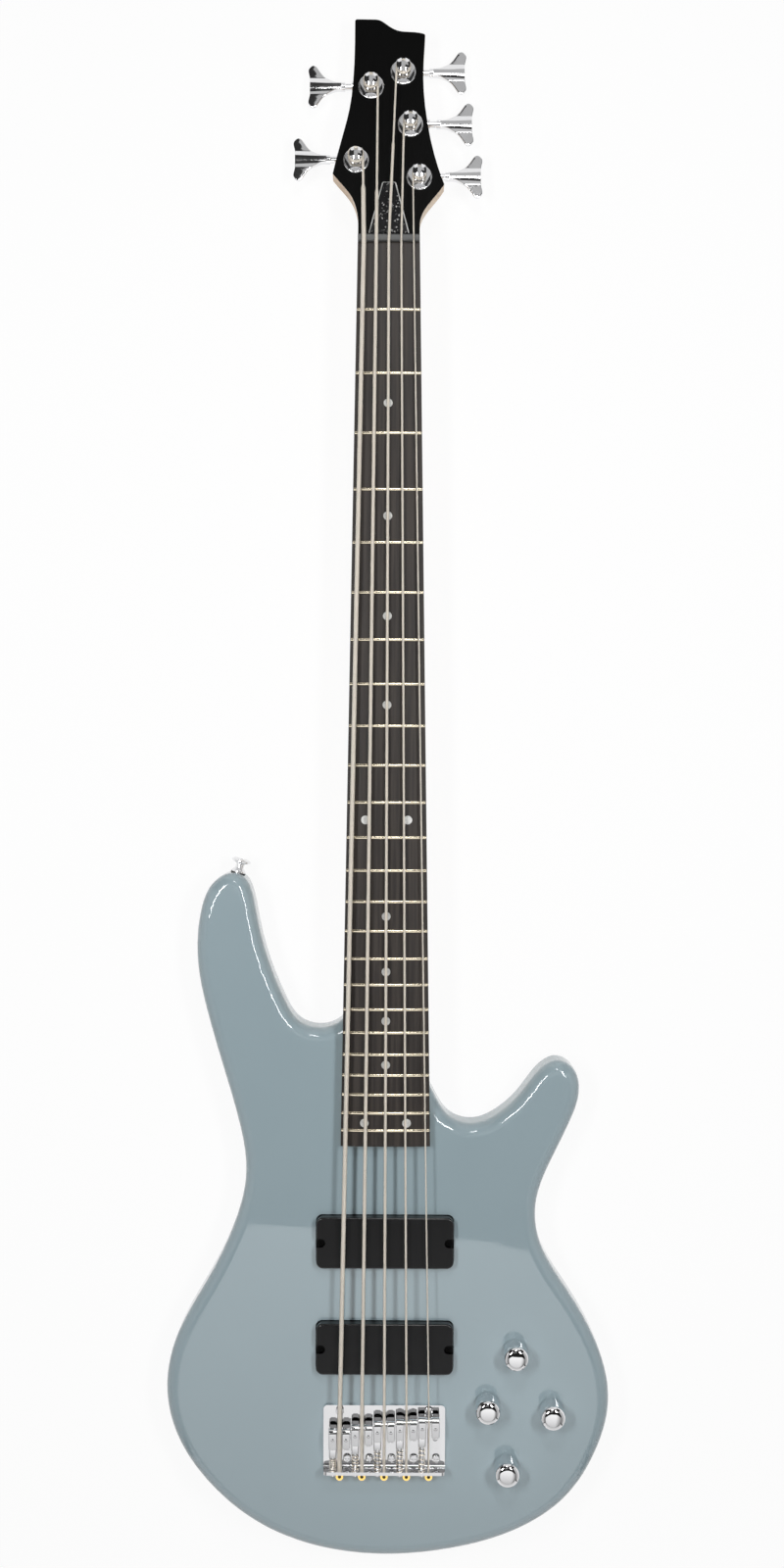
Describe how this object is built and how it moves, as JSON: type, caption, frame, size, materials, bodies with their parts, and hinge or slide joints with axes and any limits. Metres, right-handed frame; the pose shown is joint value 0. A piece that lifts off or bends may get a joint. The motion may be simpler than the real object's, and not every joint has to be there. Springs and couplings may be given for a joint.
{
  "type": "electric bass guitar",
  "caption": "Electric bass guitar: horned gloss body, bolt-on neck with fretted dark board, angled black headstock with geared tuners, soapbar pickups, dome knobs, adjustable bridge.",
  "frame": {"origin": "on the centre line, on the flat back, under the end of the string scale at the bridge", "axes": "+Y from the bridge to the headstock, +Z out of the front, +X to the treble side"},
  "size_m": [0.3306, 1.1407, 0.058],
  "materials": {
    "gloss_finish": "gloss lacquer",
    "maple": "satin",
    "dark_wood": "oiled",
    "fret_wire": "polished",
    "pearl": "gloss",
    "black_nut": "satin",
    "steel": "satin",
    "black_gloss": "gloss",
    "black_metal": "satin",
    "chrome": "polished",
    "string_metal": "wound",
    "brass": "polished",
    "black_satin": "satin",
    "copper": "wound",
    "foam": "matt",
    "felt": "matt",
    "lead_cover": "matt"
  },
  "bodies": {
    "instrument": {"body": "gloss_finish", "neck": "maple", "fretboard": "dark_wood", "frets": "fret_wire", "position_dots": "pearl", "nut": "black_nut", "truss_rod": "steel", "truss_rod_cover": "black_gloss", "cover_screws": "black_metal", "neck_ferrules": "chrome", "neck_screws": "chrome", "bridge_plate": "chrome", "bridge_screws": "chrome", "intonation_springs": "copper", "string_b": "string_metal", "string_e": "string_metal", "string_a": "string_metal", "string_d": "string_metal", "string_g": "string_metal", "string_ball_ends": "brass", "tuner_housings": "chrome", "tuner_bushings": "chrome", "tuner_washers": "chrome", "tuner_fixing_screws": "chrome", "pickup_covers": "black_satin", "pickup_cores": "copper", "pickup_screws": "black_metal", "pickup_foam": "foam", "pots": "steel", "control_nuts": "steel", "output_jack": "chrome", "control_cover": "black_satin", "strap_button": "chrome", "strap_button_screw": "chrome", "strap_button_felt": "felt", "wiring": "lead_cover"},
    "tuner_key_b": {"tuner_key_b": "chrome"},
    "tuner_post_b": {"tuner_post_b": "chrome"},
    "tuner_key_e": {"tuner_key_e": "chrome"},
    "tuner_post_e": {"tuner_post_e": "chrome"},
    "tuner_key_a": {"tuner_key_a": "chrome"},
    "tuner_post_a": {"tuner_post_a": "chrome"},
    "tuner_key_d": {"tuner_key_d": "chrome"},
    "tuner_post_d": {"tuner_post_d": "chrome"},
    "tuner_key_g": {"tuner_key_g": "chrome"},
    "tuner_post_g": {"tuner_post_g": "chrome"},
    "intonation_screw_b": {"intonation_screw_b": "steel"},
    "saddle_b": {"saddle_b": "chrome"},
    "intonation_screw_e": {"intonation_screw_e": "steel"},
    "saddle_e": {"saddle_e": "chrome"},
    "intonation_screw_a": {"intonation_screw_a": "steel"},
    "saddle_a": {"saddle_a": "chrome"},
    "intonation_screw_d": {"intonation_screw_d": "steel"},
    "saddle_d": {"saddle_d": "chrome"},
    "intonation_screw_g": {"intonation_screw_g": "steel"},
    "saddle_g": {"saddle_g": "chrome"},
    "knob_1": {"knob_1": "chrome"},
    "knob_2": {"knob_2": "chrome"},
    "knob_3": {"knob_3": "chrome"},
    "knob_4": {"knob_4": "chrome"}
  },
  "joints": [
    {"name": "tuner_key_b_turn", "type": "hinge", "parent": "instrument", "child": "tuner_key_b", "pos_m": [-0.02409, 0.93219, 0.01495], "axis": [-1, 0, 0], "continuous": true},
    {"name": "tuner_post_b_turn", "type": "hinge", "parent": "instrument", "child": "tuner_post_b", "pos_m": [-0.02409, 0.92583, 0.03447], "axis": [0, 0.1219, 0.9925], "continuous": true},
    {"name": "tuner_key_e_turn", "type": "hinge", "parent": "instrument", "child": "tuner_key_e", "pos_m": [-0.01343, 0.98794, 0.00811], "axis": [-1, 0, 0], "continuous": true},
    {"name": "tuner_post_e_turn", "type": "hinge", "parent": "instrument", "child": "tuner_post_e", "pos_m": [-0.01343, 0.98157, 0.02763], "axis": [0, 0.1219, 0.9925], "continuous": true},
    {"name": "tuner_key_a_turn", "type": "hinge", "parent": "instrument", "child": "tuner_key_a", "pos_m": [0.01001, 0.99877, 0.00678], "axis": [1, 0, 0], "continuous": true},
    {"name": "tuner_post_a_turn", "type": "hinge", "parent": "instrument", "child": "tuner_post_a", "pos_m": [0.01001, 0.9924, 0.0263], "axis": [0, 0.1219, 0.9925], "continuous": true},
    {"name": "tuner_key_d_turn", "type": "hinge", "parent": "instrument", "child": "tuner_key_d", "pos_m": [0.01538, 0.95933, 0.01162], "axis": [1, 0, 0], "continuous": true},
    {"name": "tuner_post_d_turn", "type": "hinge", "parent": "instrument", "child": "tuner_post_d", "pos_m": [0.01538, 0.95296, 0.03114], "axis": [0, 0.1219, 0.9925], "continuous": true},
    {"name": "tuner_key_g_turn", "type": "hinge", "parent": "instrument", "child": "tuner_key_g", "pos_m": [0.02198, 0.91957, 0.0165], "axis": [1, 0, 0], "continuous": true},
    {"name": "tuner_post_g_turn", "type": "hinge", "parent": "instrument", "child": "tuner_post_g", "pos_m": [0.02198, 0.9132, 0.03602], "axis": [0, 0.1219, 0.9925], "continuous": true},
    {"name": "saddle_b_slide", "type": "slide", "parent": "instrument", "child": "saddle_b", "axis": [0, 1, 0], "range_m": [-0.0035, 0.002], "deforming": ["intonation_springs", "string_b"]},
    {"name": "intonation_screw_b_turn", "type": "hinge", "parent": "instrument", "child": "intonation_screw_b", "pos_m": [-0.038, -0.041, 0.0461], "axis": [0, 1, 0], "range_deg": [-1441, 2521]},
    {"name": "saddle_e_slide", "type": "slide", "parent": "instrument", "child": "saddle_e", "axis": [0, 1, 0], "range_m": [-0.0035, 0.002], "deforming": ["intonation_springs", "string_e"]},
    {"name": "intonation_screw_e_turn", "type": "hinge", "parent": "instrument", "child": "intonation_screw_e", "pos_m": [-0.0215, -0.041, 0.0461], "axis": [0, 1, 0], "range_deg": [-1441, 2521]},
    {"name": "saddle_a_slide", "type": "slide", "parent": "instrument", "child": "saddle_a", "axis": [0, 1, 0], "range_m": [-0.0035, 0.002], "deforming": ["intonation_springs", "string_a"]},
    {"name": "intonation_screw_a_turn", "type": "hinge", "parent": "instrument", "child": "intonation_screw_a", "pos_m": [-0.005, -0.041, 0.0461], "axis": [0, 1, 0], "range_deg": [-1441, 2521]},
    {"name": "saddle_d_slide", "type": "slide", "parent": "instrument", "child": "saddle_d", "axis": [0, 1, 0], "range_m": [-0.0035, 0.002], "deforming": ["intonation_springs", "string_d"]},
    {"name": "intonation_screw_d_turn", "type": "hinge", "parent": "instrument", "child": "intonation_screw_d", "pos_m": [0.0115, -0.041, 0.0461], "axis": [0, 1, 0], "range_deg": [-1441, 2521]},
    {"name": "saddle_g_slide", "type": "slide", "parent": "instrument", "child": "saddle_g", "axis": [0, 1, 0], "range_m": [-0.0035, 0.002], "deforming": ["intonation_springs", "string_g"]},
    {"name": "intonation_screw_g_turn", "type": "hinge", "parent": "instrument", "child": "intonation_screw_g", "pos_m": [0.028, -0.041, 0.0461], "axis": [0, 1, 0], "range_deg": [-1441, 2521]},
    {"name": "knob_1_turn", "type": "hinge", "parent": "instrument", "child": "knob_1", "pos_m": [0.0971, 0.04857, 0.039], "axis": [0, 0, 1], "range_deg": [-150, 150]},
    {"name": "knob_2_turn", "type": "hinge", "parent": "instrument", "child": "knob_2", "pos_m": [0.07649, 0.00863, 0.039], "axis": [0, 0, 1], "range_deg": [-150, 150]},
    {"name": "knob_3_turn", "type": "hinge", "parent": "instrument", "child": "knob_3", "pos_m": [0.12431, 0.00451, 0.039], "axis": [0, 0, 1], "range_deg": [-150, 150]},
    {"name": "knob_4_turn", "type": "hinge", "parent": "instrument", "child": "knob_4", "pos_m": [0.09091, -0.03797, 0.039], "axis": [0, 0, 1], "range_deg": [-150, 150]}
  ],
  "couplings": [
    {"joint": "tuner_post_b_turn", "follows": "tuner_key_b_turn", "ratio": -0.05},
    {"joint": "tuner_post_e_turn", "follows": "tuner_key_e_turn", "ratio": -0.05},
    {"joint": "tuner_post_a_turn", "follows": "tuner_key_a_turn", "ratio": 0.05},
    {"joint": "tuner_post_d_turn", "follows": "tuner_key_d_turn", "ratio": 0.05},
    {"joint": "tuner_post_g_turn", "follows": "tuner_key_g_turn", "ratio": 0.05},
    {"joint": "intonation_screw_b_turn", "follows": "saddle_b_slide", "rad_per_m": -12566},
    {"joint": "intonation_screw_e_turn", "follows": "saddle_e_slide", "rad_per_m": -12566},
    {"joint": "intonation_screw_a_turn", "follows": "saddle_a_slide", "rad_per_m": -12566},
    {"joint": "intonation_screw_d_turn", "follows": "saddle_d_slide", "rad_per_m": -12566},
    {"joint": "intonation_screw_g_turn", "follows": "saddle_g_slide", "rad_per_m": -12566}
  ]
}
